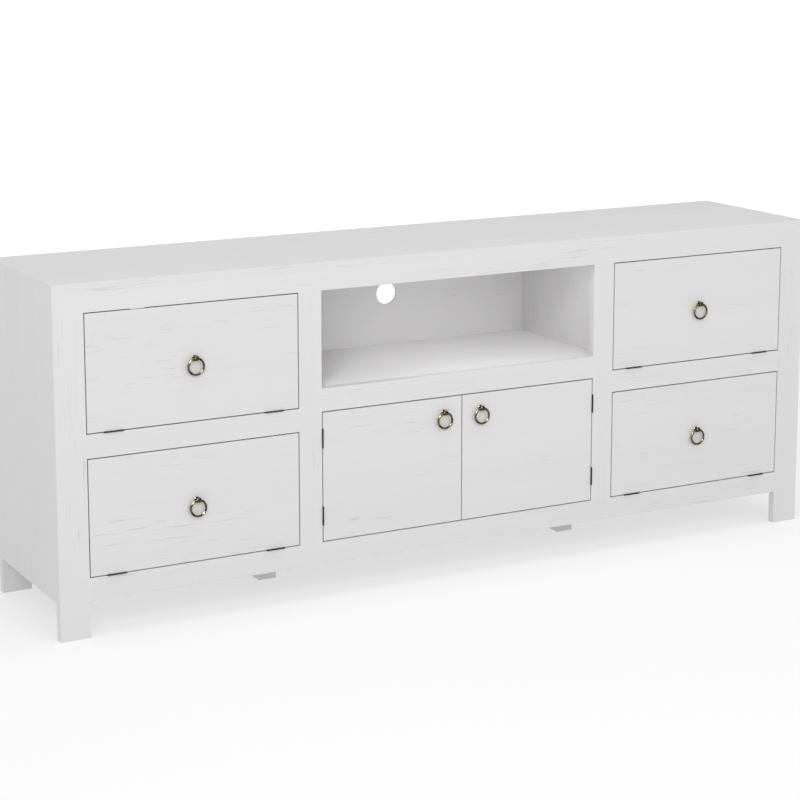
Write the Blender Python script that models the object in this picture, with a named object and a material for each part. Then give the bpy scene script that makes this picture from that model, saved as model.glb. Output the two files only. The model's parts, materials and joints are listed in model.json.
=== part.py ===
"""White painted media cabinet with four drop-front flaps, two doors and an open cubby.

Metres, +Z up, the front faces -Y. The origin is on the floor, at the middle of the
whole outline, ring pulls included. Every board, panel and fitting is its own object.
"""

import math

import bmesh
import bpy
from mathutils import Matrix, Vector

# ---- driving dimensions ---------------------------------------------------------------

WIDTH = 1.800
DEPTH = 0.370               # front face to rear face, without the pulls
BOARD = 0.018               # carcass boards, front frame, flaps and doors
CONTACT = 0.0003            # joint line between two boards that touch

LEG_WIDTH = 0.063
STILE_WIDTH = 0.051
CENTRE_OPENING = 0.660      # between the two stiles

LEG_CLEARANCE = 0.074       # floor to the underside of the carcass
BOTTOM_RAIL = 0.047
FLAP_OPENING = 0.2395
MIDDLE_RAIL = 0.048
TOP_BAND = 0.058            # top panel and the rail under it
DOOR_OPENING = 0.276

PARTITION_SETBACK = 0.026   # stile's inner edge to the cubby's side wall
BACK_PANEL_DEPTH = 0.338    # front face to the back panel's front
BACK_PANEL_THICKNESS = 0.006
CABLE_HOLE_RADIUS = 0.0245
CABLE_HOLE_HEIGHT = 0.560

FOOT_SIZE = 0.040
FOOT_OFFSET = 0.375         # centre support foot, from the middle of the cabinet
FOOT_SETBACK = 0.176

REVEAL = 0.0022             # gap round each flap and door
DOOR_MEETING_GAP = 0.0020

HINGE_LENGTH = 0.040
HINGE_INSET = 0.034         # panel's end to the near end of its hinge
HINGE_LEAF_DEPTH = 0.014
HINGE_LEAF_GAP = 0.0001     # half the space between the two leaves
HINGE_LEAF_OUTER = 0.0008   # leaf's outer face, from the hinge's middle plane
HINGE_BARREL_RADIUS = 0.0020
HINGE_AXIS_PROUD = 0.0024   # axis in front of the front face

RING_RADIUS = 0.0165
RING_WIRE_RADIUS = 0.0023
EYE_STANDOFF = 0.0080       # front face to the eye's centre
EYE_RADIUS = 0.0052
EYE_HOLE_RADIUS = 0.0036
EYE_LENGTH = 0.009
POST_BASE_RADIUS = 0.0055
POST_BASE_THICKNESS = 0.0015
POST_NECK_RADIUS = 0.0026
FLAP_PULL_RISE = 0.0095     # eye above the middle of the flap
DOOR_PULL_OFFSET = 0.045    # eye from the middle of the cabinet
DOOR_PULL_DROP = 0.0335     # eye below the top of the door opening

STAY_LENGTH = 0.150         # pivot to pin
STAY_WIDTH = 0.010
STAY_THICKNESS = 0.002
STAY_PIN_RADIUS = 0.0025
STAY_PIN_REACH = 0.008      # from the bar towards the partition
STAY_PIVOT_REACH = 0.003    # from the bar towards the flap's bracket
STAY_PIVOT = (0.028, 0.090)  # inward and up from the flap's hinge axis, flap closed
STAY_PIN_INWARD = 0.036     # pin from the flap's hinge axis, flap closed
STAY_OFFSET = 0.0125        # partition to the bar's middle plane

# ---- places worked out from the dimensions -----------------------------------------------

HALF_WIDTH = WIDTH / 2
PULL_REACH = EYE_STANDOFF + EYE_RADIUS
FRONT = -(DEPTH + PULL_REACH) / 2 + PULL_REACH
BACK = FRONT + DEPTH

LEG_EDGE = HALF_WIDTH - LEG_WIDTH
STILE_IN = CENTRE_OPENING / 2
STILE_OUT = STILE_IN + STILE_WIDTH
PARTITION_IN = STILE_IN + PARTITION_SETBACK
PARTITION_OUT = PARTITION_IN + BOARD
SIDE_IN = HALF_WIDTH - BOARD

FLOOR_LINE = LEG_CLEARANCE + BOTTOM_RAIL
MIDDLE_RAIL_LOW = FLOOR_LINE + FLAP_OPENING
MIDDLE_RAIL_TOP = MIDDLE_RAIL_LOW + MIDDLE_RAIL
TOP_RAIL_LOW = MIDDLE_RAIL_TOP + FLAP_OPENING
HEIGHT = TOP_RAIL_LOW + TOP_BAND
TOP_UNDERSIDE = HEIGHT - BOARD
DOOR_TOP = FLOOR_LINE + DOOR_OPENING
CUBBY_FLOOR = DOOR_TOP + MIDDLE_RAIL

FRAME_BACK = FRONT + BOARD
BACK_PANEL_FRONT = FRONT + BACK_PANEL_DEPTH
AXIS_Y = FRONT - HINGE_AXIS_PROUD

SIDES = {"left": -1, "right": 1}
FLAP_ROWS = {"lower": FLOOR_LINE, "upper": MIDDLE_RAIL_TOP}


# ---- scene, materials and basic shapes -----------------------------------------------------

def clear_scene():
    for obj in list(bpy.data.objects):
        bpy.data.objects.remove(obj, do_unlink=True)


def principled(name, colour, roughness, metallic=0.0):
    material = bpy.data.materials.new(name)
    material.use_nodes = True
    shader = material.node_tree.nodes["Principled BSDF"]
    shader.inputs["Base Color"].default_value = (*colour, 1.0)
    shader.inputs["Roughness"].default_value = roughness
    shader.inputs["Metallic"].default_value = metallic
    return material


def new_object(name, mesh, material, location=(0, 0, 0), parent=None):
    """Link an object at a world location, under an unrotated parent if there is one."""
    obj = bpy.data.objects.new(name, mesh)
    if not mesh.materials:
        mesh.materials.append(material)
    bpy.context.scene.collection.objects.link(obj)
    obj.location = Vector(location)
    if parent is not None:
        obj.parent = parent
        obj.location = Vector(location) - parent.location
    return obj


def empty_at(name, location):
    marker = bpy.data.objects.new(name, None)
    bpy.context.scene.collection.objects.link(marker)
    marker.location = Vector(location)
    return marker


def mesh_from(bm, name):
    bmesh.ops.recalc_face_normals(bm, faces=bm.faces)
    mesh = bpy.data.meshes.new(name)
    bm.to_mesh(mesh)
    bm.free()
    return mesh


def board(name, x, y, z, material, parent=None):
    """A rectangular board between the given (low, high) pairs."""
    low = Vector((min(x), min(y), min(z)))
    high = Vector((max(x), max(y), max(z)))
    bm = bmesh.new()
    bmesh.ops.create_cube(bm, size=1.0, matrix=Matrix.Diagonal((*(high - low), 1.0)))
    return new_object(name, mesh_from(bm, name), material, (low + high) / 2, parent)


def add_prism(bm, outline, along, across, up, length):
    """Extrude an outline of (across, up) points, centred on the origin, along an axis."""
    start = [bm.verts.new(across * a + up * b - along * length / 2) for a, b in outline]
    face = bm.faces.new(start)
    grown = bmesh.ops.extrude_face_region(bm, geom=[face])["geom"]
    moved = [item for item in grown if isinstance(item, bmesh.types.BMVert)]
    bmesh.ops.translate(bm, verts=moved, vec=along * length)


def add_cylinder(bm, radius, start, end, segments):
    """A closed cylinder between two points."""
    start, end = Vector(start), Vector(end)
    turn = (end - start).to_track_quat("Z", "Y").to_matrix().to_4x4()
    place = Matrix.Translation((start + end) / 2) @ turn
    bmesh.ops.create_cone(bm, cap_ends=True, segments=segments, radius1=radius,
                          radius2=radius, depth=(end - start).length, matrix=place)


def cylinder_object(name, radius, start, end, segments, material):
    bm = bmesh.new()
    add_cylinder(bm, radius, start, end, segments)
    return new_object(name, mesh_from(bm, name), material)


def combined_mesh(base, steps):
    """Apply Boolean steps of (operation, tool) to an object and return the solid's mesh."""
    for operation, tool in steps:
        modifier = base.modifiers.new(operation.lower(), "BOOLEAN")
        modifier.operation = operation
        modifier.object = tool
    evaluated = base.evaluated_get(bpy.context.evaluated_depsgraph_get())
    mesh = bpy.data.meshes.new_from_object(evaluated)
    for obj in [base] + [tool for _, tool in steps]:
        bpy.data.objects.remove(obj, do_unlink=True)
    return mesh


def shade_round(mesh):
    mesh.shade_smooth()
    mesh.set_sharp_from_angle(angle=math.radians(35))


# ---- carcass ------------------------------------------------------------------------------

def build_front_frame(paint):
    front = (FRONT, FRAME_BACK)
    span = (CONTACT - LEG_EDGE, LEG_EDGE - CONTACT)
    board("top_rail", span, front, (TOP_RAIL_LOW, TOP_UNDERSIDE - CONTACT), paint)
    board("bottom_rail", span, front, (LEG_CLEARANCE, FLOOR_LINE), paint)
    inside = (CONTACT - STILE_IN, STILE_IN - CONTACT)
    board("centre_middle_rail", inside, front, (DOOR_TOP, CUBBY_FLOOR), paint)
    for side, sign in SIDES.items():
        leg = (sign * LEG_EDGE, sign * HALF_WIDTH)
        board(f"front_{side}_leg", leg, front, (0, TOP_UNDERSIDE - CONTACT), paint)
        stile = (sign * STILE_IN, sign * STILE_OUT)
        height = (FLOOR_LINE + CONTACT, TOP_RAIL_LOW - CONTACT)
        board(f"{side}_stile", stile, front, height, paint)
        bay = (sign * (STILE_OUT + CONTACT), sign * (LEG_EDGE - CONTACT))
        board(f"{side}_middle_rail", bay, front, (MIDDLE_RAIL_LOW, MIDDLE_RAIL_TOP), paint)


def build_rear_frame(paint):
    rear = (BACK - BOARD, BACK)
    span = (CONTACT - LEG_EDGE, LEG_EDGE - CONTACT)
    board("rear_rail", span, rear, (LEG_CLEARANCE, FLOOR_LINE), paint)
    for side, sign in SIDES.items():
        leg = (sign * LEG_EDGE, sign * HALF_WIDTH)
        board(f"rear_{side}_leg", leg, rear, (0, TOP_UNDERSIDE - CONTACT), paint)


def build_back_panel(paint):
    """Back panel with a round cable hole into the cubby."""
    depth = (BACK_PANEL_FRONT, BACK_PANEL_FRONT + BACK_PANEL_THICKNESS)
    span = (CONTACT - SIDE_IN, SIDE_IN - CONTACT)
    panel = board("back_panel", span, depth, (FLOOR_LINE - BOARD, TOP_UNDERSIDE - CONTACT), paint)
    start = (0, BACK_PANEL_FRONT - BOARD, CABLE_HOLE_HEIGHT)
    end = (0, BACK_PANEL_FRONT + BOARD, CABLE_HOLE_HEIGHT)
    cutter = cylinder_object("cable_hole_cutter", CABLE_HOLE_RADIUS, start, end, 40, paint)
    cutter.hide_render = True
    cutter.display_type = "WIRE"
    hole = panel.modifiers.new("cable_hole", "BOOLEAN")
    hole.operation = "DIFFERENCE"
    hole.object = cutter


def build_carcass(paint):
    inner = (FRAME_BACK + CONTACT, BACK_PANEL_FRONT - CONTACT)
    full = (-HALF_WIDTH, HALF_WIDTH)
    board("top_panel", full, (FRONT, BACK), (TOP_UNDERSIDE, HEIGHT), paint)
    floor_span = (CONTACT - SIDE_IN, SIDE_IN - CONTACT)
    board("bottom_panel", floor_span, inner, (FLOOR_LINE - BOARD, FLOOR_LINE), paint)
    cubby_span = (CONTACT - PARTITION_IN, PARTITION_IN - CONTACT)
    board("cubby_shelf", cubby_span, inner, (CUBBY_FLOOR - BOARD, CUBBY_FLOOR), paint)
    standing = (FLOOR_LINE + CONTACT, TOP_UNDERSIDE - CONTACT)
    for side, sign in SIDES.items():
        between = (FRAME_BACK + CONTACT, BACK - BOARD - CONTACT)
        height = (LEG_CLEARANCE, TOP_UNDERSIDE - CONTACT)
        board(f"{side}_side_panel", (sign * SIDE_IN, sign * HALF_WIDTH), between, height, paint)
        partition = (sign * PARTITION_IN, sign * PARTITION_OUT)
        board(f"{side}_partition", partition, inner, standing, paint)
        bay = (sign * (PARTITION_OUT + CONTACT), sign * (SIDE_IN - CONTACT))
        level = (MIDDLE_RAIL_TOP - BOARD, MIDDLE_RAIL_TOP)
        board(f"{side}_bay_shelf", bay, inner, level, paint)
        foot_x = sign * FOOT_OFFSET
        board(f"{side}_centre_foot", (foot_x - FOOT_SIZE / 2, foot_x + FOOT_SIZE / 2),
              (FRONT + FOOT_SETBACK, FRONT + FOOT_SETBACK + FOOT_SIZE),
              (0, FLOOR_LINE - BOARD - CONTACT), paint)


# ---- fittings -----------------------------------------------------------------------------

def hinge_mesh(name, across, up):
    """Frame leaf and barrel: `across` points into the cabinet, `up` from frame to panel."""
    along = across.cross(up)
    near = -math.asin(HINGE_LEAF_GAP / HINGE_BARREL_RADIUS)
    far = 2 * math.pi - math.asin(HINGE_LEAF_OUTER / HINGE_BARREL_RADIUS)
    steps = 18
    angles = [near + (far - near) * i / steps for i in range(steps + 1)]
    outline = [(HINGE_BARREL_RADIUS * math.cos(a), HINGE_BARREL_RADIUS * math.sin(a))
               for a in angles]
    leaf_end = HINGE_AXIS_PROUD + HINGE_LEAF_DEPTH
    outline += [(leaf_end, -HINGE_LEAF_OUTER), (leaf_end, -HINGE_LEAF_GAP)]
    bm = bmesh.new()
    add_prism(bm, outline, along, across, up, HINGE_LENGTH)
    mesh = mesh_from(bm, name)
    shade_round(mesh)
    return mesh


def post_mesh(brass):
    """Base disc, neck and eye, with the eye's centre at the origin and its hole along X."""
    back = EYE_STANDOFF - CONTACT
    shoulder = back - POST_BASE_THICKNESS
    neck_end = (EYE_RADIUS + EYE_HOLE_RADIUS) / 2
    half = EYE_LENGTH / 2
    eye = cylinder_object("eye", EYE_RADIUS, (-half, 0, 0), (half, 0, 0), 20, brass)
    base = cylinder_object("base", POST_BASE_RADIUS, (0, shoulder, 0), (0, back, 0), 20, brass)
    neck = cylinder_object("neck", POST_NECK_RADIUS, (0, neck_end, 0),
                           (0, (shoulder + back) / 2, 0), 12, brass)
    hole = cylinder_object("hole", EYE_HOLE_RADIUS, (-2 * half, 0, 0), (2 * half, 0, 0), 20, brass)
    mesh = combined_mesh(eye, [("UNION", neck), ("UNION", base), ("DIFFERENCE", hole)])
    shade_round(mesh)
    return mesh


def ring_mesh():
    """Round wire ring hanging from the origin, in the XZ plane."""
    bm = bmesh.new()
    bmesh.ops.create_circle(bm, cap_ends=False, segments=8, radius=RING_WIRE_RADIUS,
                            matrix=Matrix.Translation((RING_RADIUS, 0, 0)))
    bmesh.ops.spin(bm, geom=bm.verts[:] + bm.edges[:], cent=(0, 0, 0), axis=(0, 1, 0),
                   dvec=(0, 0, 0), angle=2 * math.pi, steps=28, use_merge=False)
    bmesh.ops.remove_doubles(bm, verts=bm.verts, dist=1e-6)
    bmesh.ops.translate(bm, verts=bm.verts, vec=(0, 0, -RING_RADIUS))
    mesh = mesh_from(bm, "pull_ring")
    shade_round(mesh)
    return mesh


def stay_mesh(sign, steel):
    """Stay arm from its flap pivot at the origin to the pin that slides on the partition."""
    inward = STAY_PIN_INWARD - STAY_PIVOT[0]
    lean = math.acos(inward / STAY_LENGTH)
    run = Vector((0, math.cos(lean), math.sin(lean)))
    rise = Vector((0, -math.sin(lean), math.cos(lean)))
    steps = 8
    half_turn = [math.pi / 2 + math.pi * i / steps for i in range(steps + 1)]
    radius = STAY_WIDTH / 2
    near_end = [(radius * math.cos(a), radius * math.sin(a)) for a in half_turn]
    far_end = [(STAY_LENGTH - x, -y) for x, y in near_end]
    bm = bmesh.new()
    add_prism(bm, near_end + far_end, Vector((1, 0, 0)), run, rise, STAY_THICKNESS)
    bar = new_object("bar", mesh_from(bm, "bar"), steel)
    tip = run * STAY_LENGTH
    towards = Vector((-sign, 0, 0))
    pin = cylinder_object("pin", STAY_PIN_RADIUS, tip,
                          tip + towards * (STAY_THICKNESS / 2 + STAY_PIN_REACH), 12, steel)
    pivot = cylinder_object("pivot", STAY_PIN_RADIUS, (0, 0, 0),
                            -towards * (STAY_THICKNESS / 2 + STAY_PIVOT_REACH), 12, steel)
    mesh = combined_mesh(bar, [("UNION", pin), ("UNION", pivot)])
    shade_round(mesh)
    return mesh


def add_pull(panel, eye, axis, post, ring, brass):
    """Post fixed to a panel, and the loose ring whose origin is on its swing axis."""
    new_object(f"{panel}_pull_post", post, brass, eye, axis)
    new_object(f"{panel}_pull_ring", ring, brass, eye, axis)


# ---- flaps and doors ------------------------------------------------------------------------

def build_flaps(paint, brass, black, steel, post, ring):
    """Drop-front flaps, hinged along their bottom edges."""
    hinge = hinge_mesh("flap_hinge", Vector((0, 1, 0)), Vector((0, 0, 1)))
    for side, sign in SIDES.items():
        stay = stay_mesh(sign, steel)
        for row, low in FLAP_ROWS.items():
            name = f"{row}_{side}_flap"
            axis_z = low + REVEAL / 2
            middle_x = sign * (STILE_OUT + LEG_EDGE) / 2
            axis = empty_at(f"{name}_axis", (middle_x, AXIS_Y, axis_z))
            near, far = STILE_OUT + REVEAL, LEG_EDGE - REVEAL
            board(name, (sign * near, sign * far), (FRONT, FRAME_BACK),
                  (low + REVEAL, low + FLAP_OPENING - REVEAL), paint, axis)
            hinge_step = HINGE_INSET + HINGE_LENGTH / 2
            for label, x in (("inner", near + hinge_step), ("outer", far - hinge_step)):
                new_object(f"{name}_{label}_hinge", hinge, black, (sign * x, AXIS_Y, axis_z))
            eye_z = low + FLAP_OPENING / 2 + FLAP_PULL_RISE
            add_pull(name, (middle_x, FRONT - EYE_STANDOFF, eye_z), axis, post, ring, brass)
            pivot = (sign * (PARTITION_OUT + STAY_OFFSET), AXIS_Y + STAY_PIVOT[0],
                     axis_z + STAY_PIVOT[1])
            new_object(f"{name}_stay_arm", stay, steel, pivot, axis)


def build_doors(paint, brass, black, post, ring):
    """Side-hung doors that meet at the middle of the cabinet."""
    for side, sign in SIDES.items():
        name = f"{side}_door"
        hinge = hinge_mesh(f"{name}_hinge", Vector((0, 1, 0)), Vector((-sign, 0, 0)))
        axis_x = sign * (STILE_IN - REVEAL / 2)
        low, high = FLOOR_LINE + REVEAL, DOOR_TOP - REVEAL
        axis = empty_at(f"{name}_axis", (axis_x, AXIS_Y, (low + high) / 2))
        board(name, (sign * DOOR_MEETING_GAP / 2, sign * (STILE_IN - REVEAL)),
              (FRONT, FRAME_BACK), (low, high), paint, axis)
        hinge_step = HINGE_INSET + HINGE_LENGTH / 2
        for label, z in (("lower", low + hinge_step), ("upper", high - hinge_step)):
            new_object(f"{name}_{label}_hinge", hinge, black, (axis_x, AXIS_Y, z))
        eye = (sign * DOOR_PULL_OFFSET, FRONT - EYE_STANDOFF, DOOR_TOP - DOOR_PULL_DROP)
        add_pull(name, eye, axis, post, ring, brass)


def main():
    clear_scene()
    paint = principled("white_painted_wood", (0.74, 0.73, 0.72), 0.45)
    brass = principled("antique_brass", (0.42, 0.30, 0.10), 0.35, 1.0)
    black = principled("black_steel", (0.02, 0.02, 0.02), 0.5, 0.4)
    steel = principled("zinc_plated_steel", (0.55, 0.56, 0.58), 0.35, 1.0)
    build_carcass(paint)
    build_front_frame(paint)
    build_rear_frame(paint)
    build_back_panel(paint)
    post = post_mesh(brass)
    ring = ring_mesh()
    build_flaps(paint, brass, black, steel, post, ring)
    build_doors(paint, brass, black, post, ring)


main()
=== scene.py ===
"""Looks of the white painted media cabinet: boards, fittings, materials, light and camera.

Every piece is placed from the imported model's own boxes and joints, in metres.
"""

import json
import math

import bmesh
import bpy
from mathutils import Matrix, Vector


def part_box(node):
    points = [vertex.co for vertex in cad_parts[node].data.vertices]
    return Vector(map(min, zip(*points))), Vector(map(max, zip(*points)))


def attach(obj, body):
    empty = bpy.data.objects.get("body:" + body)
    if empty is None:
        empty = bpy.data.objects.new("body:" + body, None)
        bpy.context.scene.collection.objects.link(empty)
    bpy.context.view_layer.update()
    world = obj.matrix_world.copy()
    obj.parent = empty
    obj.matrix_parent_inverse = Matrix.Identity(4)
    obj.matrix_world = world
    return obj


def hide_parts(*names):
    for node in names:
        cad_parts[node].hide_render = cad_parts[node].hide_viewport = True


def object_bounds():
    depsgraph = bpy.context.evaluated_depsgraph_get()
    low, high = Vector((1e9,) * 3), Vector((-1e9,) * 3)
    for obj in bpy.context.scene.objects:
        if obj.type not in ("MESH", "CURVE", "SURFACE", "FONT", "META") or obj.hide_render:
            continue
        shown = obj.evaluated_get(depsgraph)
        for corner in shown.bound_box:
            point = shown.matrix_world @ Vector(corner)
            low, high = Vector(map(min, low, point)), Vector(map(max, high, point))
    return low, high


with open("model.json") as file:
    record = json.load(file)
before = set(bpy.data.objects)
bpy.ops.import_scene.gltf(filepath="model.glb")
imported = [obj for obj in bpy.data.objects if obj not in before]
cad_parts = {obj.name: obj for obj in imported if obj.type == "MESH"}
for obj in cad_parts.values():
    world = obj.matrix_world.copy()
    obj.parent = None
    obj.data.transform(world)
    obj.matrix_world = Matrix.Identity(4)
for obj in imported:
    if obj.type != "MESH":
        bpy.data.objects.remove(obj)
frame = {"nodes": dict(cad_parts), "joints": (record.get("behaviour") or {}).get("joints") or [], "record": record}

CAD_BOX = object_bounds()
X, Y, Z = Vector((1, 0, 0)), Vector((0, 1, 0)), Vector((0, 0, 1))

# ---- sizes, in metres ---------------------------------------------------------------------

JOINT_LINE = 0.0003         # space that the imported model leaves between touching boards
EDGE_ROUND = 0.0009         # sanded edges of the boards
HOLE_EASE = 0.0008          # eased rims of the cable hole
HOLE_FROM_SIDE = 0.01       # the back panel's points nearer to its sides aren't the hole's
SHARP_FROM = 32             # degrees between faces from which an edge is shaded sharp
MERGE_DISTANCE = 0.000005   # points that a Boolean leaves nearer than this are joined
SEAM_DISTANCE = 0.000001    # the same for the first and last ring of a turned shape
CUT_TOLERANCE = 0.0000001   # for a board's points that lie on a cut

LEAF_NEAR, LEAF_FAR = 0.0001, 0.0008    # hinge leaf's two faces, from the hinge's middle
LEAF_CORNER = 0.0025
LEAF_SCREW_RADIUS = 0.0011
LEAF_SCREW_PLACES = -0.3, 0.3           # from the leaf's middle, of its length
CUT_PAST_LEAF = 0.00012     # how far a screw hole's cutter stands out of the leaf's near face
KNUCKLES = 5                # of a barrel, taken in turn by its two leaves
KNUCKLE_SLIMMER = 0.0009    # than the model's plain barrel
KNUCKLE_GAP = 0.0002
TAB_OVERLAP = 0.001         # of a knuckle's tab on its leaf
PIN_SHARE = 0.55            # of the barrel's radius
PIN_PROUD = 0.0006          # past the barrel's ends

RING_RADIUS = 0.0165
RING_WIRE_RADIUS = 0.0023
EYE_RADIUS = 0.0052
EYE_HOLE_RADIUS = 0.0034
EYE_LENGTH = 0.009
EYE_LIP = 0.0009            # rounding of the eye's rims
STEM_OVERLAP = 0.0001       # of the neck and the eye
# Rosette and neck of a pull: radius, and distance in front of the panel.
STEM_PROFILE = ((0.0055, 0), (0.0055, 0.0006), (0.0049, 0.0012), (0.0036, 0.0014),
                (0.0029, 0.0019), (0.0026, 0.0026))
STEM_END_RADIUS = 0.0028

STAY_LENGTH = 0.150
STAY_REACH_IN = 0.008       # how far the closed arm leans into the cabinet
STAY_EDGE, STAY_EDGE_FROM = 0.0003, 40  # bevel, and degrees between the faces that get it
TRACK_HALF_WIDTH = 0.0065
SLOT_HALF_WIDTH = 0.0036
TRACK_TOP_RUN = 0.008       # straight start of the track, in place of the pin's tight turn there
TRACK_DEPTH = 0.0095        # from the partition's face
TRACK_FLOOR = 0.002
EAR_THICKNESS = 0.0015
EAR_GAP = 0.0009            # between the stay arm's face and the bracket's ear
EAR_RADIUS = 0.006
PIVOT_HOLE_RADIUS, PIVOT_HOLE_REACH = 0.0026, 0.010
FOOT_WIDTH, FOOT_HALF_HEIGHT = 0.014, 0.014
FOOT_SCREW_RADIUS = 0.0026
FOOT_SCREW_ACROSS = 0.0085  # from the ear
FOOT_SCREWS_UP = -0.009, 0.009
HEAD_START, HEAD_END = 0.001, 0.0024    # of those screws' heads, from the flap's face

PANEL_GAP = 0.0022          # between a panel and its opening
CATCH_WIDTH, CATCH_DEPTH = 0.030, 0.014
CATCH_BELOW, CATCH_ABOVE = 0.013, 0.020     # the top of the opening
CATCH_FROM_SIDE = 0.1078    # from the flap's outer edge to the catch's middle
CATCH_PLAY = 0.0003         # between the catch and a strike plate
CATCH_EDGE = 0.0004
RAIL_CLEARANCE = 0.0002     # behind the rail, and half of it below
LIP_THICKNESS = 0.0012
LIP_SEEN, LIP_SHORT = 0.0178, 0.001
STRIKE_THICKNESS = 0.0007
STRIKE_SHARE = 0.42         # half of the plate's width, of the catch's
STRIKE_INSET = 0.004        # from the panel's side
STRIKE_HALF_HEIGHT = 0.0045
STRIKE_EDGE = 0.0002

# Screw head: shares of its radius and of its rise. The cross recess shapes one of its rings.
HEAD_PROFILE = ((1.0, 0.0), (1.0, 0.35), (0.88, 0.7), (0.6, 0.93), (0.45, 1.0), (0.3, 0.4))
HEAD_RISE = 0.45            # of the radius
CROSS_RING, CROSS_DEPTH = 4, 0.25
CATCH_SCREW_RADIUS, BACK_SCREW_RADIUS = 0.0030, 0.0032
BACK_SCREW_INSET = 0.009    # from the back panel's edges
CAM_INSET = 0.034           # cam lock's place from the upright that it pulls on
CAM_FROM_EDGE = 0.045
# Cam cover: radius, and height above the board.
CAP_PROFILE = ((0.0085, 0), (0.0085, 0.0004), (0.0080, 0.0009), (0.0070, 0.0011), (0.0060, 0.0008))

FLOOR_SIZE = 120.0
FLOOR_GLOW = 0.50, 0.72     # near the cabinet and far away
GLOW_FROM_TO = 1.5, 4.0     # distances between which it grows
WORLD_LIGHT = 0.735         # brightness of the surroundings; the camera sees them as plain white
STRIP_SHARE = 0.6           # shelf strip's width, of the shelf's
STRIP_FROM_RIGHT = 0.66     # its middle from the shelf's right end, of its width
STRIP_DEPTH = 0.05
STRIP_INSET = 0.02          # behind the shelf's front edge, and below the top rail's upper one
STRIP_DIRECTION = 0.0, 0.2, -1.0
STRIP_POWER = 0.25

CAMERA_PLACE = Vector((-2.245, -4.0354, 1.423))
CAMERA_YAW, CAMERA_PITCH = math.radians(28.52), math.radians(9.93)
CAMERA_LENS = 97.5
CAMERA_SHIFT = -0.15

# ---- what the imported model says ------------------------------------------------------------

RECORD = frame["record"]
SLOT_OF = {row["node"]: row["material_slot"] for row in RECORD["subparts"]}
BODY_OF = {node: body for body, nodes in RECORD["behaviour"]["bodies"].items() for node in nodes}
JOINTS = {joint["name"]: joint for joint in frame["joints"]}
FLAPS = ("upper_left_flap", "lower_left_flap", "upper_right_flap", "lower_right_flap")
DOORS = ("left_door", "right_door")
PANELS = FLAPS + DOORS
SIDE_SIGN = {"left": -1, "right": 1}


def side_of(name):
    return SIDE_SIGN["left" if "left" in name else "right"]


# ---- shader helpers --------------------------------------------------------------------------

PAINT = (0.682, 0.675, 0.676)       # linear RGB
GRAIN_SHIFT = 19.0                  # largest shift of the grain from one piece to another


class Shader:
    """A Principled material and short ways to add and join its nodes."""

    def __init__(self, name, **values):
        self.material = bpy.data.materials.new(name)
        self.material.use_nodes = True
        self.tree = self.material.node_tree
        self.surface = self.tree.nodes["Principled BSDF"]
        for socket, value in values.items():
            self.surface.inputs[socket.replace("_", " ")].default_value = value

    def add(self, kind, inputs=None, **settings):
        """A node with its settings, its input values and the sockets it takes."""
        made = self.tree.nodes.new("ShaderNode" + kind)
        for key, value in settings.items():
            setattr(made, key, value)
        for key, value in (inputs or {}).items():
            if isinstance(value, bpy.types.NodeSocket):
                self.tree.links.new(value, made.inputs[key])
            else:
                made.inputs[key].default_value = value
        return made

    def plug(self, socket, name):
        self.tree.links.new(socket, self.surface.inputs[name])

    def ramp(self, value, low, high, start=0.0, end=1.0):
        """value mapped from low..high to start..end, and held there outside."""
        return self.add("MapRange", {"Value": value, "From Min": low, "From Max": high,
                                     "To Min": start, "To Max": end}).outputs["Result"]

    def math(self, operation, first, second):
        return self.add("Math", {0: first, 1: second}, operation=operation).outputs[0]

    def noise(self, place, scale, detail=2.0, roughness=0.5):
        return self.add("TexNoise", {"Vector": place, "Scale": scale, "Detail": detail,
                                     "Roughness": roughness}).outputs["Fac"]

    def mix(self, factor, first, second):
        made = self.add("Mix", {"Factor": factor}, data_type="RGBA")
        for index, value in ((6, first), (7, second)):
            if isinstance(value, bpy.types.NodeSocket):
                self.tree.links.new(value, made.inputs[index])
            else:
                made.inputs[index].default_value = (*value, 1.0)
        return made.outputs[2]

    def stretched(self, grain, along, across):
        """Object coordinates shifted for each piece and squeezed across the grain."""
        place = self.add("TexCoord").outputs["Object"]
        shift = self.math("MULTIPLY", self.add("ObjectInfo").outputs["Random"], GRAIN_SHIFT)
        moved = self.add("VectorMath", {0: place, 1: shift}, operation="ADD").outputs[0]
        scale = [across, across, across]
        scale[grain] = along
        return self.add("Mapping", {"Vector": moved, "Scale": scale}).outputs["Vector"]


def painted_wood(grain):
    """White satin paint over brushed wood, its grain along axis 0 (X) or 2 (Z)."""
    made = Shader(f"painted_wood_{'xyz'[grain]}", Specular_IOR_Level=0.35)
    tone = made.noise(made.stretched(grain, 0.7, 11.0), 1.0, 3.0)
    lines = made.noise(made.stretched(grain, 2.2, 210.0), 1.0, 3.0, 0.6)
    dashes = made.noise(made.stretched(grain, 14.0, 520.0), 1.0, 1.0)
    patches = made.noise(made.stretched(grain, 2.5, 14.0), 1.0, 2.0)
    pores = made.math("MULTIPLY", made.ramp(dashes, 0.66, 0.72), made.ramp(patches, 0.50, 0.62))
    shade = made.math("ADD", made.ramp(tone, 0.3, 0.7, 0.0, 0.55),
                      made.ramp(lines, 0.35, 0.75, 0.0, 0.45))
    base = made.mix(shade, PAINT, tuple(0.955 * c for c in PAINT))
    colour = made.mix(made.math("MULTIPLY", pores, 0.8), base, tuple(0.74 * c for c in PAINT))
    made.plug(colour, "Base Color")
    made.plug(made.ramp(lines, 0.3, 0.7, 0.40, 0.52), "Roughness")
    height = made.math("SUBTRACT", made.math("MULTIPLY", lines, 0.5), pores)
    bump = made.add("Bump", {"Height": height, "Strength": 0.35, "Distance": 0.0004})
    made.plug(bump.outputs["Normal"], "Normal")
    return made.material


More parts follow.
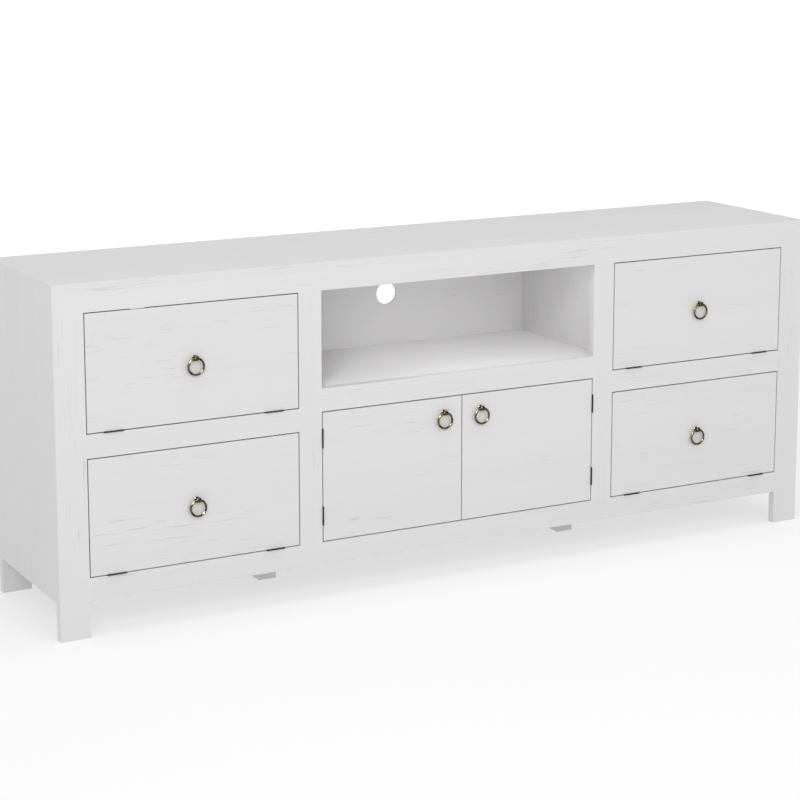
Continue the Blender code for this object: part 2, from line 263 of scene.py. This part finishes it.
def aged_brass():
    """Polished brass with a thin olive patina in patches."""
    made = Shader("aged_brass", Metallic=1.0)
    place = made.add("TexCoord").outputs["Object"]
    patina = made.ramp(made.noise(place, 140.0, 3.0), 0.42, 0.62)
    made.plug(made.mix(patina, (0.135, 0.116, 0.044), (0.014, 0.012, 0.005)), "Base Color")
    made.plug(made.ramp(made.noise(place, 700.0), 0.3, 0.7, 0.16, 0.30), "Roughness")
    return made.material


def black_steel():
    """Satin black paint with a fine speckle."""
    made = Shader("black_steel", Metallic=0.3)
    speckle = made.noise(made.add("TexCoord").outputs["Object"], 2500.0)
    made.plug(made.mix(speckle, (0.010, 0.010, 0.010), (0.030, 0.029, 0.028)), "Base Color")
    made.plug(made.ramp(speckle, 0.3, 0.7, 0.38, 0.5), "Roughness")
    return made.material


def zinc_steel():
    """Zinc plating, brushed along its length."""
    made = Shader("zinc_steel", Metallic=1.0)
    brushed = made.noise(made.stretched(2, 40.0, 1800.0), 1.0, 2.0)
    made.plug(made.mix(brushed, (0.44, 0.45, 0.47), (0.62, 0.63, 0.65)), "Base Color")
    made.plug(made.ramp(brushed, 0.3, 0.7, 0.26, 0.42), "Roughness")
    return made.material


def white_plastic():
    """Moulded plastic with a faint sparked texture."""
    made = Shader("white_plastic", Roughness=0.5)
    grain = made.noise(made.add("TexCoord").outputs["Object"], 1800.0)
    made.plug(made.mix(grain, (0.80, 0.80, 0.78), (0.74, 0.74, 0.72)), "Base Color")
    bump = made.add("Bump", {"Height": grain, "Strength": 0.15, "Distance": 0.0001})
    made.plug(bump.outputs["Normal"], "Normal")
    return made.material


# ---- mesh helpers -----------------------------------------------------------------------------

def smooth_shaded(mesh):
    mesh.shade_smooth()
    mesh.set_sharp_from_angle(angle=math.radians(SHARP_FROM))
    return mesh


def mesh_of(bm, name, smooth=True):
    bmesh.ops.recalc_face_normals(bm, faces=bm.faces)
    mesh = bpy.data.meshes.new(name)
    bm.to_mesh(mesh)
    bm.free()
    return smooth_shaded(mesh) if smooth else mesh


def piece(name, mesh, material, body, place=None, replaces=()):
    """Show a mesh as a piece that rides on a body and may stand for CAD nodes."""
    made = bpy.data.objects.new(name, mesh)
    if not mesh.materials:
        mesh.materials.append(material)
    bpy.context.scene.collection.objects.link(made)
    made.matrix_world = place or Matrix.Identity(4)
    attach(made, body)
    if replaces:
        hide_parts(*replaces)
    return made


def add_box(bm, low, high):
    low, high = Vector(low), Vector(high)
    size = Matrix.Diagonal((*(high - low), 1.0))
    return bmesh.ops.create_cube(bm, size=1.0, matrix=Matrix.Translation((low + high) / 2) @ size)


def add_cylinder(bm, radius, start, end, segments=32):
    start, end = Vector(start), Vector(end)
    turn = (end - start).to_track_quat("Z", "Y").to_matrix().to_4x4()
    return bmesh.ops.create_cone(bm, cap_ends=True, segments=segments, radius1=radius,
                                 radius2=radius, depth=(end - start).length,
                                 matrix=Matrix.Translation((start + end) / 2) @ turn)


def add_prism(bm, outline, origin, across, up, along):
    """Extrude an outline of (across, up) points from origin by the vector along."""
    first = [bm.verts.new(origin + across * a + up * b) for a, b in outline]
    grown = bmesh.ops.extrude_face_region(bm, geom=[bm.faces.new(first)])["geom"]
    moved = [item for item in grown if isinstance(item, bmesh.types.BMVert)]
    bmesh.ops.translate(bm, verts=moved, vec=along)


def add_turned(bm, profile, axis, steps=40):
    """Spin a closed profile of (radius, height) points about an axis through the origin."""
    side = axis.orthogonal().normalized()
    ring = [bm.verts.new(side * r + axis * h) for r, h in profile]
    edges = [bm.edges.new((ring[i - 1], ring[i])) for i in range(len(ring))]
    bmesh.ops.spin(bm, geom=ring + edges, cent=(0, 0, 0), axis=axis, dvec=(0, 0, 0),
                   angle=2 * math.pi, steps=steps, use_merge=False)
    bmesh.ops.remove_doubles(bm, verts=bm.verts, dist=SEAM_DISTANCE)


def add_loft(bm, rings):
    """Skin a row of rings, each a list of as many places, and close both ends."""
    made = [[bm.verts.new(place) for place in ring] for ring in rings]
    for one, two in zip(made, made[1:]):
        for i in range(len(one)):
            bm.faces.new((one[i - 1], one[i], two[i], two[i - 1]))
    bm.faces.new(made[0])
    bm.faces.new(made[-1])


def round_edges(bm, width):
    """Give every edge of a small fitting a round bevel."""
    bmesh.ops.bevel(bm, geom=bm.edges[:], offset=width, segments=2, profile=0.5, affect="EDGES",
                    clamp_overlap=True)


def circle(radius, steps):
    """Points round a circle about (0, 0)."""
    angles = [2 * math.pi * i / steps for i in range(steps)]
    return [(radius * math.cos(a), radius * math.sin(a)) for a in angles]


def arc(centre, radius, start, end, steps):
    """Points on an arc, with angles in degrees."""
    angles = [math.radians(start + (end - start) * i / steps) for i in range(steps + 1)]
    return [(centre[0] + radius * math.cos(a), centre[1] + radius * math.sin(a)) for a in angles]


def union(parts, name, cutters=()):
    """One closed mesh from solids that overlap, less the cutters."""
    made = []
    for bm in list(parts) + list(cutters):
        obj = bpy.data.objects.new("tool", mesh_of(bm, "tool", smooth=False))
        bpy.context.scene.collection.objects.link(obj)
        made.append(obj)
    for index, tool in enumerate(made[1:], start=1):
        step = made[0].modifiers.new("step", "BOOLEAN")
        step.operation = "UNION" if index < len(parts) else "DIFFERENCE"
        step.object = tool
    bpy.context.view_layer.update()
    evaluated = made[0].evaluated_get(bpy.context.evaluated_depsgraph_get())
    mesh = bpy.data.meshes.new_from_object(evaluated)
    mesh.name = name
    clean = bmesh.new()
    clean.from_mesh(mesh)
    bmesh.ops.remove_doubles(clean, verts=clean.verts, dist=MERGE_DISTANCE)
    bmesh.ops.dissolve_degenerate(clean, edges=clean.edges, dist=MERGE_DISTANCE)
    clean.to_mesh(mesh)
    clean.free()
    for obj in made:
        bpy.data.objects.remove(obj, do_unlink=True)
    return smooth_shaded(mesh)


def solid(build, *args, **kwargs):
    """A fresh bmesh with one shape in it."""
    bm = bmesh.new()
    build(bm, *args, **kwargs)
    return bm


# ---- boards -----------------------------------------------------------------------------------

def touching(node, boxes):
    """Boxes of the boards that meet this one at a joint line."""
    low, high = boxes[node]
    near = 2 * JOINT_LINE
    return [box for other, box in boxes.items() if other != node and BODY_OF[other] == BODY_OF[node]
            and all(box[0][i] < high[i] + near and box[1][i] > low[i] - near for i in range(3))]


def closed_up(low, high, neighbours):
    """The board's box, its touching faces moved to the middle of their joint lines."""
    new_low, new_high = low.copy(), high.copy()
    for box_low, box_high in neighbours:
        for i in range(3):
            if 0 < box_low[i] - high[i] < 2 * JOINT_LINE:
                new_high[i] = (high[i] + box_low[i]) / 2
            if 0 < low[i] - box_high[i] < 2 * JOINT_LINE:
                new_low[i] = (low[i] + box_high[i]) / 2
    return new_low, new_high


def add_board(bm, node, boxes):
    """A board with sanded edges, left sharp where another board meets it flush."""
    neighbours = touching(node, boxes)
    low, high = closed_up(*boxes[node], neighbours)
    add_box(bm, low, high)
    for i, normal in enumerate((X, Y, Z)):
        ends = {round(box[k][i], 6) for box in neighbours for k in (0, 1)}
        for value in sorted(ends):
            if low[i] + EDGE_ROUND * 2 < value < high[i] - EDGE_ROUND * 2:
                bmesh.ops.bisect_plane(bm, geom=bm.verts[:] + bm.edges[:] + bm.faces[:],
                                       plane_co=normal * value, plane_no=normal,
                                       dist=CUT_TOLERANCE)
    near = 2 * JOINT_LINE

    def exposed(edge):
        if edge.link_faces[0].normal.dot(edge.link_faces[1].normal) > 0.5:
            return False
        mid = (edge.verts[0].co + edge.verts[1].co) / 2
        return not any(all(box[0][i] - near < mid[i] < box[1][i] + near for i in range(3))
                       for box in neighbours)

    bm.normal_update()
    soft = [edge for edge in bm.edges if exposed(edge)]
    bmesh.ops.bevel(bm, geom=soft, offset=EDGE_ROUND, segments=3, profile=0.5, affect="EDGES",
                    clamp_overlap=True)


def build_boards(paints):
    """Every painted board, its grain along its longer side."""
    boxes = {node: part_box(node) for node, slot in SLOT_OF.items() if slot == "painted_wood"}
    for node, (low, high) in boxes.items():
        size = high - low
        grain = 0 if size.x > size.z else 2
        if node == "back_panel":
            mesh = back_panel_mesh(node, boxes)
        else:
            mesh = mesh_of(solid(add_board, node, boxes), node, smooth=False)
        piece(f"{node}_board", mesh, paints[grain], BODY_OF[node], replaces=[node])


def cable_hole(node):
    """Centre and radius of the round hole in a panel, from its own ring of points."""
    low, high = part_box(node)
    points = [v.co for v in frame["nodes"][node].data.vertices]
    inside = [p for p in points if low.x + HOLE_FROM_SIDE < p.x < high.x - HOLE_FROM_SIDE]
    centre = sum(inside, Vector()) / len(inside)
    return centre, max((Vector((p.x, centre.y, p.z)) - centre).length for p in inside)


def back_panel_mesh(node, boxes):
    """Thin panel with a cable hole whose rims are eased."""
    centre, radius = cable_hole(node)
    low, high = boxes[node]
    half = (high.y - low.y) / 2
    rim = radius + HOLE_EASE
    turned = [(rim, -half - HOLE_EASE), (rim, -half), (radius, HOLE_EASE - half),
              (radius, half - HOLE_EASE), (rim, half), (rim, half + HOLE_EASE)]
    rings = [[centre + Vector((x, h, z)) for x, z in circle(r, 96)] for r, h in turned]
    return union([solid(add_board, node, boxes)], node, [solid(add_loft, rings)])


# ---- hinges -----------------------------------------------------------------------------------

def hinge_leaf_mesh(name, radius, leaf_end, length, side):
    """One leaf with its knuckles, lying along X; side -1 is the frame's leaf, 1 the panel's."""
    near, far = side * LEAF_NEAR, side * LEAF_FAR
    step = length / KNUCKLES
    mine = range(0, KNUCKLES, 2) if side < 0 else range(1, KNUCKLES, 2)
    plate_start, half = radius + KNUCKLE_GAP, length / 2
    bend = leaf_end - LEAF_CORNER
    outline = [(plate_start, -half), (bend, -half),
               *arc((bend, LEAF_CORNER - half), LEAF_CORNER, -90, 0, 6)[1:],
               *arc((bend, half - LEAF_CORNER), LEAF_CORNER, 0, 90, 6), (plate_start, half)]
    parts = [solid(add_prism, outline, Z * near, Y, X, Z * (far - near))]
    tab_start, tab_end = radius / 2, plate_start + TAB_OVERLAP
    tab = [(tab_start, near), (tab_end, near), (tab_end, far), (tab_start, far)]
    for index in mine:
        start = X * (index * step - half + KNUCKLE_GAP / 2)
        run = X * (step - KNUCKLE_GAP)
        parts.append(solid(add_cylinder, radius, start, start + run))
        parts.append(solid(add_prism, tab, start, Y, Z, run))
    holes = []
    for share in LEAF_SCREW_PLACES:
        base = Vector((share * length, (plate_start + leaf_end) / 2, near))
        holes.append(solid(add_cylinder, LEAF_SCREW_RADIUS, base + Z * far,
                           base - Z * side * CUT_PAST_LEAF, 6))
    if side < 0:
        end = X * (half + PIN_PROUD)
        parts.append(solid(add_cylinder, radius * PIN_SHARE, -end, end, 24))
    return union(parts, name, holes)


def build_hinges(black):
    """Two leaves for each hinge, made once and turned to lie along the hinge's axis."""
    made = {}
    for node in (n for n in SLOT_OF if n.endswith("_hinge")):
        panel = next(p for p in PANELS if node.startswith(p))
        low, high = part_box(node)
        pivot = Vector(JOINTS[f"{panel}_hinge"]["pos_m"])
        up = Z if panel in FLAPS else X * -side_of(panel)
        along = Y.cross(up)
        radius = pivot.y - low.y - KNUCKLE_SLIMMER
        length = abs((high - low).dot(along))
        centre = (low + high) / 2
        origin = pivot + along * (centre - pivot).dot(along)
        place = Matrix.Translation(origin) @ Matrix((along, Y, up)).transposed().to_4x4()
        for label, side, body in (("frame", -1, "cabinet"), ("panel", 1, panel)):
            if side not in made:
                made[side] = hinge_leaf_mesh(f"hinge_{label}_leaf", radius, high.y - pivot.y,
                                             length, side)
            piece(f"{node}_{label}_leaf", made[side], black, body, place,
                  replaces=[node] if side < 0 else [])


# ---- ring pulls -----------------------------------------------------------------------------

def post_mesh(face):
    """Rosette, neck and eye about the eye's centre; face is how far behind it the panel is."""
    end, outer, inner = EYE_LENGTH / 2 - EYE_LIP, EYE_RADIUS - EYE_LIP, EYE_HOLE_RADIUS + EYE_LIP
    tube = [*arc((outer, end), EYE_LIP, 0, 90, 5), *arc((inner, end), EYE_LIP, 90, 180, 5),
            *arc((inner, -end), EYE_LIP, 180, 270, 5), *arc((outer, -end), EYE_LIP, 270, 360, 5)]
    wall = (EYE_RADIUS + EYE_HOLE_RADIUS) / 2
    profile = [(r, face - h) for r, h in STEM_PROFILE] + [(STEM_END_RADIUS, wall + STEM_OVERLAP)]
    stem = [[Vector((x, h, z)) for x, z in circle(r, 40)] for r, h in profile]
    return union([solid(add_turned, tube, X), solid(add_loft, stem)], "pull_post")


def ring_mesh():
    """Round wire ring hanging from the origin in the XZ plane."""
    bm = bmesh.new()
    wire = [(RING_RADIUS + x, y) for x, y in arc((0, 0), RING_WIRE_RADIUS, 0, 360, 24)[:-1]]
    add_turned(bm, wire, Y, steps=96)
    bmesh.ops.translate(bm, verts=bm.verts, vec=-Z * RING_RADIUS)
    return mesh_of(bm, "pull_ring")


def build_pulls(brass):
    """A post on each panel and a ring that swings in its eye."""
    eyes = {panel: Vector(JOINTS[f"{panel}_ring_swing"]["pos_m"]) for panel in PANELS}
    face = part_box(f"{PANELS[0]}_pull_post")[1].y - eyes[PANELS[0]].y
    post, ring = post_mesh(face), ring_mesh()
    for panel, eye in eyes.items():
        for part, mesh, body in (("post", post, panel), ("ring", ring, f"{panel}_ring")):
            node = f"{panel}_pull_{part}"
            piece(f"{node}_brass", mesh, brass, body, Matrix.Translation(eye),
                  replaces=[node])


# ---- flap stays -----------------------------------------------------------------------------

def stay_angles(panel):
    """Lean of the closed arm, and how far it turns for each radian of the flap, in the YZ plane."""
    coupling = next(c for c in RECORD["behaviour"]["couplings"]
                    if c["joint"] == f"{panel}_stay_pivot")
    return math.acos(STAY_REACH_IN / STAY_LENGTH), 1.0 + coupling["ratio"]


def pin_path(panel, steps=24):
    """Places of the arm's pin in the YZ plane as the flap opens, worked out from its joints.

    The pin first rises by under 2 mm beside its way down, so the path starts at its highest place
    and runs straight past that turn.
    """
    hinge = JOINTS[f"{panel}_hinge"]
    axis = Vector(hinge["pos_m"])
    pivot = Vector(JOINTS[f"{panel}_stay_pivot"]["pos_m"]) - axis
    lean, gain = stay_angles(panel)
    places = []
    for i in range(steps + 1):
        turn = math.radians(hinge["range_deg"][1]) * i / steps
        moved = Matrix.Rotation(turn, 3, "X") @ Vector((0, pivot.y, pivot.z))
        arm = lean + gain * turn
        places.append(axis + moved + Vector((0, math.cos(arm), math.sin(arm))) * STAY_LENGTH)
    highest = max(range(len(places)), key=lambda i: places[i].z)
    top = places[highest]
    below = [p for p in places[highest:] if (p - top).length > TRACK_TOP_RUN]
    return [(p.y, p.z) for p in (top, *below)]


def band(path, half_width, cap_steps=10):
    """Closed outline round a path: its two sides and its round ends."""
    points = [Vector(p) for p in path]
    runs = [(b - a).normalized() for a, b in zip(points, points[1:])]
    tangents = [runs[0]] + [(a + b).normalized() for a, b in zip(runs, runs[1:])] + [runs[-1]]
    normals = [Vector((-t.y, t.x)) for t in tangents]
    left = [tuple(p + n * half_width) for p, n in zip(points, normals)]
    right = [tuple(p - n * half_width) for p, n in zip(points, normals)]
    end = math.degrees(math.atan2(normals[-1].y, normals[-1].x))
    start = math.degrees(math.atan2(-normals[0].y, -normals[0].x))
    far_cap = arc(points[-1], half_width, end, end - 180, cap_steps)[1:-1]
    near_cap = arc(points[0], half_width, start, start - 180, cap_steps)[1:-1]
    return left + far_cap + right[::-1] + near_cap


def build_stays(steel, black):
    """For each flap a slotted track on the partition and a bracket; the arm is the model's own."""
    for panel in FLAPS:
        sign = side_of(panel)
        side = "left" if sign < 0 else "right"
        path = pin_path(panel)
        low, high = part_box(f"{side}_partition")
        wall = low.x if sign < 0 else high.x
        out = X * sign
        track = solid(add_prism, band(path, TRACK_HALF_WIDTH), X * wall, Y, Z, out * TRACK_DEPTH)
        slot = solid(add_prism, band(path, SLOT_HALF_WIDTH), X * wall + out * TRACK_FLOOR, Y, Z,
                     out * TRACK_DEPTH)
        mesh = union([track], f"{panel}_track", [slot])
        piece(f"{panel}_stay_track", mesh, black, "cabinet")
        build_bracket(panel, sign, steel)
        arm = frame["nodes"][f"{panel}_stay_arm"]
        arm.data.materials.clear()
        arm.data.materials.append(steel)
        edge = arm.modifiers.new("eased_edges", "BEVEL")
        edge.width = STAY_EDGE
        edge.segments = 2
        edge.limit_method = "ANGLE"
        edge.angle_limit = math.radians(STAY_EDGE_FROM)


def build_bracket(panel, sign, steel):
    """Small angle bracket screwed to the flap, with an ear round the arm's pivot."""
    pivot = Vector(JOINTS[f"{panel}_stay_pivot"]["pos_m"])
    arm_low, arm_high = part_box(f"{panel}_stay_arm")
    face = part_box(panel)[1].y
    outer = arm_low.x if sign < 0 else arm_high.x
    near = outer - sign * (EAR_THICKNESS + EAR_GAP)
    depth = face - pivot.y
    ear_side = [(depth, -EAR_RADIUS), (0, -EAR_RADIUS),
                *arc((0, 0), EAR_RADIUS, -90, 90, 12)[1:-1], (0, EAR_RADIUS), (depth, EAR_RADIUS)]
    ear = solid(add_prism, ear_side, Vector((near, pivot.y, pivot.z)), Y, Z,
                X * sign * EAR_THICKNESS)
    sides = sorted((near, near + sign * FOOT_WIDTH))
    foot = solid(add_box, (sides[0], face, pivot.z - FOOT_HALF_HEIGHT),
                 (sides[1], face + EAR_THICKNESS, pivot.z + FOOT_HALF_HEIGHT))
    hole = solid(add_cylinder, PIVOT_HOLE_RADIUS, pivot - X * PIVOT_HOLE_REACH,
                 pivot + X * PIVOT_HOLE_REACH, 24)
    heads = []
    for up in FOOT_SCREWS_UP:
        place = Vector((near + sign * FOOT_SCREW_ACROSS, face, pivot.z + up))
        heads.append(solid(add_cylinder, FOOT_SCREW_RADIUS, place + Y * HEAD_START,
                           place + Y * HEAD_END, 24))
    mesh = union([foot, ear, *heads], f"{panel}_bracket", [hole])
    piece(f"{panel}_stay_bracket", mesh, steel, panel)


# ---- catches, screws and covers -----------------------------------------------------------------

def add_screw_head(bm, centre, normal, radius):
    """Domed screw head with a cross recess, standing on a face at centre."""
    turn = Matrix.Translation(centre) @ normal.to_track_quat("Z", "Y").to_matrix().to_4x4()
    angles = [2 * math.pi * i / 24 for i in range(24)]
    rings = []
    for index, (share, height) in enumerate(HEAD_PROFILE):
        wave = CROSS_DEPTH if index == CROSS_RING else 0.0
        reach = [radius * share * (1.0 + wave * math.cos(4 * a)) for a in angles]
        rise = radius * HEAD_RISE * height
        rings.append([turn @ Vector((r * math.cos(a), r * math.sin(a), rise))
                      for r, a in zip(reach, angles)])
    add_loft(bm, rings)


def add_screws(name, places, normal, radius, steel, body):
    bm = bmesh.new()
    for place in places:
        add_screw_head(bm, Vector(place), normal, radius)
    piece(name, mesh_of(bm, name), steel, body)


def add_catch(name, panels, x, width, lip, plastic, steel):
    """Magnetic catch on the back of the rail above a panel, and the panels' strike plates.

    lip is how far the catch's thin front lip reaches into the gap above the panel.
    """
    panel_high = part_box(panels[0])[1]
    face = panel_high.y
    opening_top = panel_high.z + PANEL_GAP
    front, back = face + STRIKE_THICKNESS + CATCH_PLAY, face + CATCH_DEPTH
    rail_back, rail_low = face + RAIL_CLEARANCE, opening_top - RAIL_CLEARANCE / 2
    lip_low = opening_top - LIP_THICKNESS
    outline = [(front, opening_top - CATCH_BELOW), (back, opening_top - CATCH_BELOW),
               (back, opening_top + CATCH_ABOVE), (rail_back, opening_top + CATCH_ABOVE),
               (rail_back, rail_low), (face - lip, rail_low), (face - lip, lip_low),
               (front, lip_low)]
    body = solid(add_prism, outline, X * (x - width / 2), Y, Z, X * width)
    bmesh.ops.recalc_face_normals(body, faces=body.faces)
    round_edges(body, CATCH_EDGE)
    piece(f"{name}_catch", mesh_of(body, f"{name}_catch"), plastic, "cabinet")
    middle = opening_top - CATCH_BELOW / 2 - PANEL_GAP / 2
    add_screws(f"{name}_catch_screws",
               [(x + dx, back, opening_top + CATCH_ABOVE / 2) for dx in (-width / 4, width / 4)],
               Y, CATCH_SCREW_RADIUS, steel, "cabinet")
    for panel in panels:
        low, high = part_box(panel)
        near = max(x - width * STRIKE_SHARE, low.x + STRIKE_INSET)
        far = min(x + width * STRIKE_SHARE, high.x - STRIKE_INSET)
        plate = solid(add_box, (near, face, middle - STRIKE_HALF_HEIGHT),
                      (far, face + STRIKE_THICKNESS, middle + STRIKE_HALF_HEIGHT))
        round_edges(plate, STRIKE_EDGE)
        piece(f"{panel}_strike_plate", mesh_of(plate, f"{panel}_strike"), steel,
              panel)


def build_catches(plastic, steel):
    """One catch to each flap, its lip seen in the gap only at the upper left, and one for doors."""
    for panel in FLAPS:
        low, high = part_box(panel)
        outside = CATCH_FROM_SIDE * side_of(panel)
        x = (high.x if outside > 0 else low.x) - outside
        lip = LIP_SEEN if panel == "upper_left_flap" else LIP_SHORT
        add_catch(panel, [panel], x, CATCH_WIDTH, lip, plastic, steel)
    add_catch("doors", DOORS, 0.0, 2 * CATCH_WIDTH, LIP_SHORT, plastic, steel)


def build_back_screws(steel):
    """Screws round the back panel and along the partitions."""
    low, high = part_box("back_panel")
    inset = BACK_SCREW_INSET
    across = [low.x + inset + (high.x - low.x - 2 * inset) * i / 10 for i in range(11)]
    up = [low.z + inset + (high.z - low.z - 2 * inset) * i / 4 for i in range(5)]
    places = [(x, high.y, z) for x in across for z in (up[0], up[-1])]
    partitions = [sum(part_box(f"{side}_partition"), Vector()).x / 2 for side in SIDE_SIGN]
    places += [(x, high.y, z) for x in (across[0], across[-1], *partitions) for z in up[1:-1]]
    add_screws("back_panel_screws", places, Y, BACK_SCREW_RADIUS, steel, "cabinet")


def build_cam_covers(plastic):
    """Press-in caps over the cam locks, where the bottom panel and bay shelves meet uprights."""
    uprights = [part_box(f"{side}_{part}") for side in SIDE_SIGN
                for part in ("side_panel", "partition")]
    for node, normal in (("bottom_panel", Z), ("left_bay_shelf", -Z), ("right_bay_shelf", -Z)):
        low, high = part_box(node)
        face = high.z if normal.z > 0 else low.z
        bm = bmesh.new()
        for box in uprights:
            for x in (box[0].x - CAM_INSET, box[1].x + CAM_INSET):
                if low.x + CAM_INSET / 2 < x < high.x - CAM_INSET / 2:
                    for y in (low.y + CAM_FROM_EDGE, high.y - CAM_FROM_EDGE):
                        add_cap(bm, Vector((x, y, face)), normal)
        piece(f"{node}_cam_covers", mesh_of(bm, f"{node}_covers"), plastic,
              "cabinet")


def add_cap(bm, centre, normal):
    """Thin round cap with a soft rim and a shallow dish."""
    add_loft(bm, [[centre + normal * h + Vector((x, y, 0)) for x, y in circle(r, 40)]
                  for r, h in CAP_PROFILE])


# ---- stage, light and camera -----------------------------------------------------------------

def build_stage():
    """White studio floor that glows a little, more so far away, to keep its shadows faint."""
    bm = bmesh.new()
    bmesh.ops.create_grid(bm, x_segments=1, y_segments=1, size=FLOOR_SIZE / 2)
    mesh = mesh_of(bm, "floor", smooth=False)
    floor = bpy.data.objects.new("floor", mesh)
    bpy.context.scene.collection.objects.link(floor)
    pale = Shader("pale_floor", Roughness=0.9, Base_Color=(0.45, 0.45, 0.45, 1.0),
                  Specular_IOR_Level=0.0, Emission_Color=(1.0, 1.0, 1.0, 1.0))
    place = pale.add("TexCoord").outputs["Object"]
    distance = pale.add("VectorMath", {0: place}, operation="LENGTH").outputs["Value"]
    pale.plug(pale.ramp(distance, *GLOW_FROM_TO, *FLOOR_GLOW), "Emission Strength")
    mesh.materials.append(pale.material)


def add_lamp(name, place, direction, size, power):
    """Rectangular light that shines in a direction."""
    data = bpy.data.lights.new(name, "AREA")
    data.shape = "RECTANGLE"
    data.size, data.size_y = size
    data.energy = power
    lamp = bpy.data.objects.new(name, data)
    bpy.context.scene.collection.objects.link(lamp)
    lamp.location = place
    lamp.rotation_euler = Vector(direction).to_track_quat("-Z", "Y").to_euler()
    return lamp


def add_softbox(name, place, size, power, lights_only=()):
    """Area light aimed at the cabinet, which may be kept to some of its pieces."""
    middle = Vector((0, 0, (CAD_BOX[0].z + CAD_BOX[1].z) / 2))
    lamp = add_lamp(name, place, middle - Vector(place), size, power)
    if lights_only:
        group = bpy.data.collections.new(f"{name}_pieces")
        for lit in lights_only:
            group.objects.link(bpy.data.objects[lit])
        lamp.light_linking.receiver_collection = group


def add_shelf_light():
    """Strip that lights the open compartment from behind its top rail, unseen by the camera."""
    shelf_low, shelf_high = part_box("cubby_shelf")
    width = STRIP_SHARE * (shelf_high.x - shelf_low.x)
    place = (shelf_high.x - STRIP_FROM_RIGHT * width, shelf_low.y + STRIP_INSET,
             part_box("top_rail")[1].z - STRIP_INSET)
    lamp = add_lamp("shelf_strip", place, STRIP_DIRECTION, (width, STRIP_DEPTH), STRIP_POWER)
    lamp.visible_camera = False


def build_light():
    """Even surroundings, three softboxes, fills for the compartment and a glint for the brass."""
    world = bpy.data.worlds.new("white_studio")
    bpy.context.scene.world = world
    world.use_nodes = True
    tree = world.node_tree
    background = tree.nodes["Background"]
    background.inputs["Color"].default_value = (1.0, 1.0, 1.0, 1.0)
    seen = tree.nodes.new("ShaderNodeLightPath").outputs["Is Camera Ray"]
    strength = tree.nodes.new("ShaderNodeMapRange")
    strength.inputs["To Min"].default_value = WORLD_LIGHT
    strength.inputs["To Max"].default_value = 1.0
    tree.links.new(seen, strength.inputs["Value"])
    tree.links.new(strength.outputs["Result"], background.inputs["Strength"])
    inside = [f"{node}_board" for node in ("left_partition", "right_partition", "back_panel")]
    brass = [f"{panel}_pull_{part}_brass" for panel in PANELS for part in ("post", "ring")]
    add_softbox("key_softbox", (-2.8, -3.2, 2.8), (1.0, 1.0), 30)
    add_softbox("front_softbox", (0.0, -4.0, 2.5), (2.0, 1.5), 28)
    add_softbox("top_softbox", (0.0, -0.6, 3.5), (2.5, 1.5), 19)
    add_softbox("compartment_fill", (-1.6, -2.6, 0.8), (1.2, 0.6), 11, inside)
    add_softbox("shelf_fill", (-1.6, -2.2, 1.7), (0.8, 0.4), 50, ["cubby_shelf_board"])
    add_softbox("brass_glint", (-2.6, -2.6, 2.4), (2.0, 2.0), 900, brass)
    add_shelf_light()
    bpy.context.scene.view_settings.view_transform = "Standard"


def build_camera():
    data = bpy.data.cameras.new("camera")
    data.lens = CAMERA_LENS
    data.sensor_width = 36.0
    data.shift_y = CAMERA_SHIFT
    data.clip_end = 200
    camera = bpy.data.objects.new("camera", data)
    bpy.context.scene.collection.objects.link(camera)
    camera.location = CAMERA_PLACE
    camera.rotation_euler = (math.pi / 2 - CAMERA_PITCH, 0, -CAMERA_YAW)
    bpy.context.scene.camera = camera


def main():
    paints = {0: painted_wood(0), 2: painted_wood(2)}
    brass, black, steel, plastic = aged_brass(), black_steel(), zinc_steel(), white_plastic()
    build_camera()
    build_boards(paints)
    build_hinges(black)
    build_pulls(brass)
    build_stays(steel, black)
    build_catches(plastic, steel)
    build_back_screws(steel)
    build_cam_covers(plastic)
    build_stage()
    build_light()


main()
